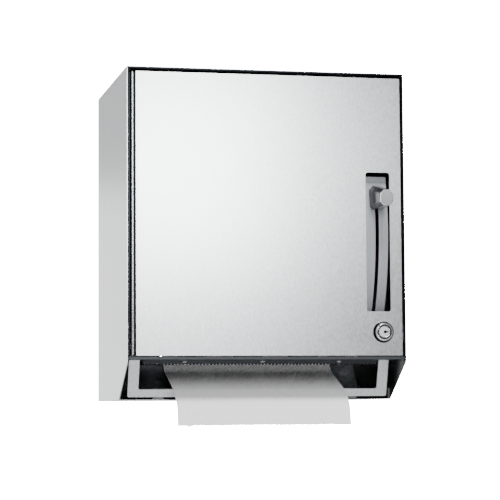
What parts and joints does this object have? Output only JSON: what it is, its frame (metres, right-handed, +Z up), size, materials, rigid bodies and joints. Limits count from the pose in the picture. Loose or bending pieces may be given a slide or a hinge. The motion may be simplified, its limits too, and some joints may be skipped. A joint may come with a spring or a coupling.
{
  "type": "paper towel dispenser",
  "caption": "Wall-mounted folded-sheet towel dispenser: hinged locking door, side lever through a slot, geared roller feed, sprung roll hub and open outlet below.",
  "frame": {"origin": "centre of the four wall-fixing holes, on the outer face of the back", "axes": "+X to the right seen from the front, +Y into the wall, +Z up"},
  "size_m": [0.32, 0.274, 0.4031],
  "materials": {
    "brushed_stainless": "fine vertical brush, satin",
    "plain_stainless": "cold-rolled, bright",
    "zinc_plated_steel": "bright zinc plate",
    "spring_steel": "drawn wire, oiled",
    "chromed_zinc": "bright chrome plate",
    "black_rubber": "moulded, ground face",
    "grey_moulded_plastic": "moulded, ribbed",
    "knob_plastic": "moulded, fine texture",
    "black_moulded_plastic": "moulded, satin",
    "white_acetal": "moulded, satin",
    "towel_paper": "embossed towel paper",
    "cardboard": "spiral-wound board",
    "galvanised_steel": "galvanised sheet"
  },
  "bodies": {
    "root": {"bottom_panel": "brushed_stainless", "cabinet_shell": "brushed_stainless", "case_rivets": "plain_stainless", "frame_screws": "zinc_plated_steel", "guard_screws": "zinc_plated_steel", "hinge_leaf_case": "plain_stainless", "hinge_pin": "plain_stainless", "hub_screw": "zinc_plated_steel", "lever_bumper_lower": "black_rubber", "lever_bumper_upper": "black_rubber", "lever_guard": "grey_moulded_plastic", "lever_pivot_pin": "zinc_plated_steel", "lock_strike": "zinc_plated_steel", "lower_rail": "plain_stainless", "outlet_frame": "brushed_stainless", "paper_chute": "galvanised_steel", "paper_web": "towel_paper", "pinch_pivot_pins": "zinc_plated_steel", "pinch_spring_left": "spring_steel", "pinch_spring_right": "spring_steel", "pivot_ring": "zinc_plated_steel", "plunger_housing": "black_moulded_plastic", "plunger_spring": "spring_steel", "rail_screws": "plain_stainless", "return_spring": "spring_steel", "roll_hub_left": "black_moulded_plastic", "shaft_bushing_left": "white_acetal", "shaft_bushing_right": "white_acetal", "side_plate_left": "zinc_plated_steel", "side_plate_right": "zinc_plated_steel", "tear_blade": "plain_stainless", "tie_rod_lower": "zinc_plated_steel", "tie_rod_upper": "zinc_plated_steel", "top_panel": "brushed_stainless"},
    "door": {"door_panel": "brushed_stainless", "hinge_leaf_door": "plain_stainless", "hinge_rivets_door": "plain_stainless", "lock_body": "chromed_zinc", "lock_nut": "zinc_plated_steel"},
    "lock": {"lock_plug": "chromed_zinc", "lock_cam": "zinc_plated_steel", "cam_screw": "zinc_plated_steel"},
    "lever": {"lever_plate": "zinc_plated_steel", "lever_knob": "knob_plastic"},
    "pinion": {"pinion": "white_acetal"},
    "drive_roller": {"drive_shaft": "zinc_plated_steel", "drive_roller_left": "black_rubber", "drive_roller_middle": "black_rubber", "drive_roller_right": "black_rubber"},
    "pinch_carrier": {"pinch_arm_left": "zinc_plated_steel", "pinch_arm_right": "zinc_plated_steel"},
    "pinch_roller": {"pinch_shaft": "zinc_plated_steel", "pinch_roller_left": "black_rubber", "pinch_roller_middle": "black_rubber", "pinch_roller_right": "black_rubber"},
    "paper_roll": {"paper_roll": "towel_paper", "roll_core": "cardboard"},
    "plunger": {"roll_hub_right": "black_moulded_plastic", "plunger_clip": "zinc_plated_steel"}
  },
  "joints": [
    {"name": "door_swing", "type": "hinge", "parent": "root", "child": "door", "pos_m": [-0.1538, -0.2362, 0], "axis": [0, 0, -1], "range_deg": [0, 110]},
    {"name": "lock_turn", "type": "hinge", "parent": "door", "child": "lock", "pos_m": [0.133, -0.23, -0.1105], "axis": [0, -1, 0], "range_deg": [0, 90]},
    {"name": "lever_swing", "type": "hinge", "parent": "root", "child": "lever", "pos_m": [0.1285, -0.02, 0.005], "axis": [1, 0, 0], "range_deg": [0, 28], "stiffness_Nm_per_rad": 1.2, "springref_deg": -20.05, "deforming": ["return_spring"]},
    {"name": "pinion_turn", "type": "hinge", "parent": "root", "child": "pinion", "pos_m": [0.1285, -0.1256, -0.12178], "axis": [1, 0, 0], "range_deg": [-237, 0]},
    {"name": "drive_roller_spin", "type": "hinge", "parent": "root", "child": "drive_roller", "pos_m": [0, -0.1256, -0.12178], "axis": [1, 0, 0], "continuous": true},
    {"name": "pinch_tilt", "type": "hinge", "parent": "root", "child": "pinch_carrier", "pos_m": [0, -0.08374, -0.12122], "axis": [1, 0, 0], "range_deg": [0, 6], "stiffness_Nm_per_rad": 8, "springref_deg": -5.73, "deforming": ["pinch_spring_left", "pinch_spring_right"]},
    {"name": "pinch_roller_spin", "type": "hinge", "parent": "pinch_carrier", "child": "pinch_roller", "pos_m": [0, -0.10495, -0.14243], "axis": [1, 0, 0], "continuous": true},
    {"name": "paper_roll_spin", "type": "hinge", "parent": "root", "child": "paper_roll", "pos_m": [0, -0.12, 0.075], "axis": [1, 0, 0], "continuous": true},
    {"name": "hub_release", "type": "slide", "parent": "root", "child": "plunger", "axis": [1, 0, 0], "range_m": [0, 0.0085], "stiffness_N_per_m": 600, "springref_m": -0.008, "deforming": ["plunger_spring"]}
  ],
  "couplings": [
    {"joint": "pinion_turn", "follows": "lever_swing", "ratio": -8.4286},
    {"joint": "drive_roller_spin", "follows": "lever_swing", "ratio": -8.4286},
    {"joint": "pinch_roller_spin", "follows": "lever_swing", "ratio": 17.794},
    {"joint": "paper_roll_spin", "follows": "lever_swing", "ratio": -1.5778}
  ]
}
